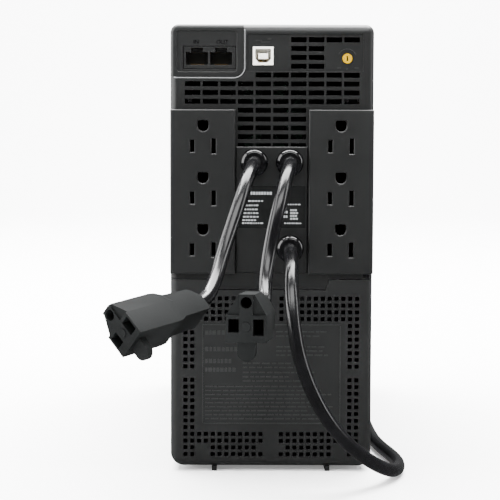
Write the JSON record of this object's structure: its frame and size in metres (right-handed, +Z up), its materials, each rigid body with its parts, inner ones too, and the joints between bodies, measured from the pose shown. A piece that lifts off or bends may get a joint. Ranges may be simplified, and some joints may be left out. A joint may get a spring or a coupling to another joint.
{
  "type": "uninterruptible power supply",
  "caption": "Tower uninterruptible power supply: mains sockets, data, USB and dial on the rear, display side in front, battery door below, output cords and a mains lead.",
  "frame": {"origin": "on the floor under the middle of the case", "axes": "+Z up, -Y out of the socket side, +X to the right of somebody who faces the sockets"},
  "size_m": [0.1696, 0.6206, 0.2672],
  "materials": {
    "case_black": "fine matte texture",
    "panel_black": "fine matte texture",
    "strip_black": "fine matte texture",
    "gloss_black": "polished",
    "cord_black": "smooth flexible vinyl",
    "connector_black": "moulded vinyl, satin",
    "rubber_black": "matt",
    "label_grey": "printed film",
    "contact_brass": "stamped strip",
    "contact_gold": "gold-plated wire",
    "plated_steel": "tin plated",
    "socket_white": "moulded",
    "dial_yellow": "moulded",
    "screw_steel": "black zinc",
    "board_green": "solder mask over glass laminate",
    "core_steel": "stacked laminations, varnished",
    "winding_copper": "enamelled copper, taped",
    "heatsink_aluminium": "extruded",
    "battery_case": "moulded case filled with lead plates",
    "part_blue": "component sleeve",
    "lens_green": "translucent lens",
    "shelf_grey": "plain"
  },
  "bodies": {
    "case": {"rear_panel": "panel_black", "top_cover": "case_black", "base_tray": "case_black", "front_bezel": "case_black", "case_screws": "screw_steel", "rating_label": "label_grey", "display_inlay": "gloss_black", "indicator_lenses": "lens_green", "display_board": "board_green", "foot_rear_left": "rubber_black", "foot_rear_right": "rubber_black", "foot_front_left": "rubber_black", "foot_front_right": "rubber_black", "mid_shelf": "shelf_grey", "outlet_strip_left": "strip_black", "outlet_strip_right": "strip_black", "data_port_bezel": "strip_black", "data_jack_block": "strip_black", "data_jack_contacts": "contact_gold", "usb_socket_shell": "socket_white", "usb_tongue": "socket_white", "dial_body": "case_black", "battery_rear": "battery_case", "battery_front": "battery_case", "battery_terminals": "plated_steel", "battery_strap": "plated_steel", "transformer_core": "core_steel", "transformer_winding": "winding_copper", "main_board": "board_green", "board_posts": "plated_steel", "heatsink": "heatsink_aluminium", "capacitors": "part_blue", "relays": "case_black", "alarm_sounder": "gloss_black", "fan_frame": "case_black", "supply_gland": "gloss_black", "supply_plug": "connector_black", "supply_plug_blades": "contact_brass", "supply_cord": "cord_black", "supply_cord_tail": "cord_black", "supply_cord_coil": "cord_black", "line_rail_left": "contact_brass", "neutral_rail_left": "contact_brass", "ground_rail_left": "contact_brass", "output_gland_left": "gloss_black", "output_cord_left": "cord_black", "output_connector_left": "connector_black", "output_connector_left_contacts": "contact_brass", "line_rail_right": "contact_brass", "neutral_rail_right": "contact_brass", "ground_rail_right": "contact_brass", "output_gland_right": "gloss_black", "output_cord_right": "cord_black", "output_connector_right": "connector_black", "output_connector_right_contacts": "contact_brass"},
    "door": {"battery_door": "panel_black"},
    "dial": {"sensitivity_dial": "dial_yellow"},
    "power_key": {"power_button": "gloss_black"},
    "mute_key": {"mute_button": "gloss_black"},
    "fan": {"fan_rotor": "case_black"}
  },
  "joints": [
    {"name": "battery_door_slide", "type": "slide", "parent": "case", "child": "door", "axis": [0, -1, 0], "range_m": [0, 0.02]},
    {"name": "dial_turn", "type": "hinge", "parent": "case", "child": "dial", "pos_m": [0.0443, -0.16, 0.2473], "axis": [0, -1, 0], "range_deg": [-105, 105]},
    {"name": "power_button_press", "type": "slide", "parent": "case", "child": "power_key", "axis": [0, -1, 0], "range_m": [0, 0.0018], "stiffness_N_per_m": 500, "springref_m": -0.001},
    {"name": "mute_button_press", "type": "slide", "parent": "case", "child": "mute_key", "axis": [0, -1, 0], "range_m": [0, 0.0018], "stiffness_N_per_m": 300, "springref_m": -0.001},
    {"name": "fan_spin", "type": "hinge", "parent": "case", "child": "fan", "pos_m": [0, -0.148, 0.2115], "axis": [0, 1, 0], "continuous": true}
  ]
}
